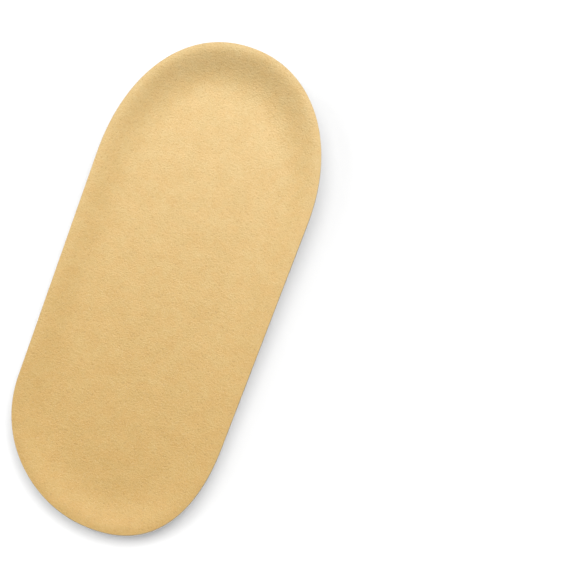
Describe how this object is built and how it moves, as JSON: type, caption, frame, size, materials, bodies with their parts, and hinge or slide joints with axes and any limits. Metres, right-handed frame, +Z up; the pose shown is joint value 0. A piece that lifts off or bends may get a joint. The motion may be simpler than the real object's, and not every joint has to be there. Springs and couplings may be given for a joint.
{
  "type": "gel heel lift",
  "caption": "Wedge-shaped gel heel lift with a dished suede-covered top and a flat sole with honeycomb pockets.",
  "frame": {"origin": "on the ground under the middle of the lift's bounding box, which is the plane of the flat sole", "axes": "+Y along the length towards the thick heel end, +X across the width, +Z up from the sole to the dished top"},
  "size_m": [0.0538, 0.1231, 0.0152],
  "materials": {
    "gel": "milky white, glossy, slightly translucent",
    "suede": "tan suede, matt, fine short nap"
  },
  "bodies": {
    "root": {"gel_body": "gel", "suede_cover": "suede"}
  },
  "joints": []
}
